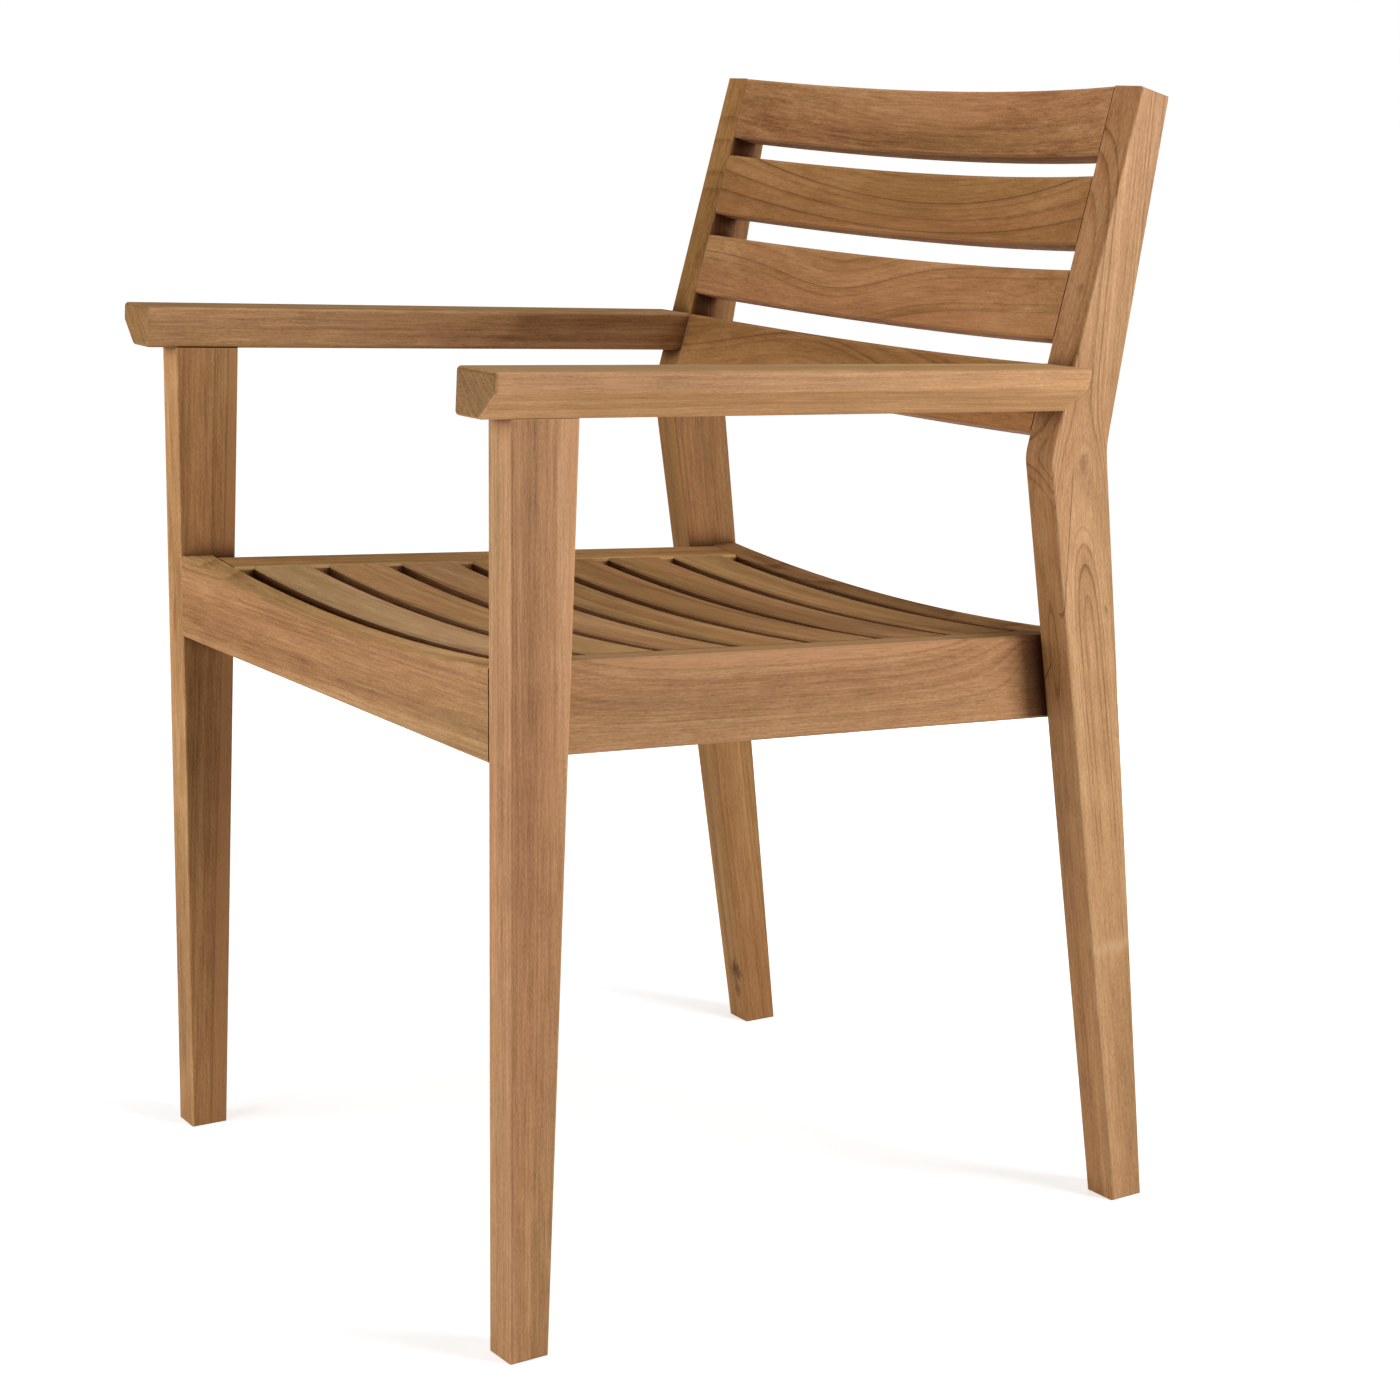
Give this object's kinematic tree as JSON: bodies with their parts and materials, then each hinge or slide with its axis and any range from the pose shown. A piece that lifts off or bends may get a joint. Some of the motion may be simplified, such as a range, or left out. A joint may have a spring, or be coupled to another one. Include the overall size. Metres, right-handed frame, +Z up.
{
  "type": "garden armchair",
  "caption": "Slatted wooden garden armchair with tapered legs, a hollowed seat of cross slats, bevelled armrests and a leaning back of curved boards.",
  "frame": {"origin": "on the floor, under the middle of the overall width and depth", "axes": "+Z up; -Y towards the front of the chair; +X to the right seen from the front"},
  "size_m": [0.5978, 0.6003, 0.8515],
  "materials": {
    "teak": "sanded matte, untreated"
  },
  "bodies": {
    "root": {"front_leg_left": "teak", "front_leg_right": "teak", "rear_leg_left": "teak", "rear_leg_right": "teak", "armrest_left": "teak", "armrest_right": "teak", "seat_side_rail_left": "teak", "seat_side_rail_right": "teak", "seat_front_rail": "teak", "seat_rear_rail": "teak", "seat_slat_1": "teak", "seat_slat_2": "teak", "seat_slat_3": "teak", "seat_slat_4": "teak", "seat_slat_5": "teak", "seat_slat_6": "teak", "seat_slat_7": "teak", "back_top_rail": "teak", "back_slat_upper": "teak", "back_slat_middle": "teak", "back_slat_lower": "teak"}
  },
  "joints": []
}
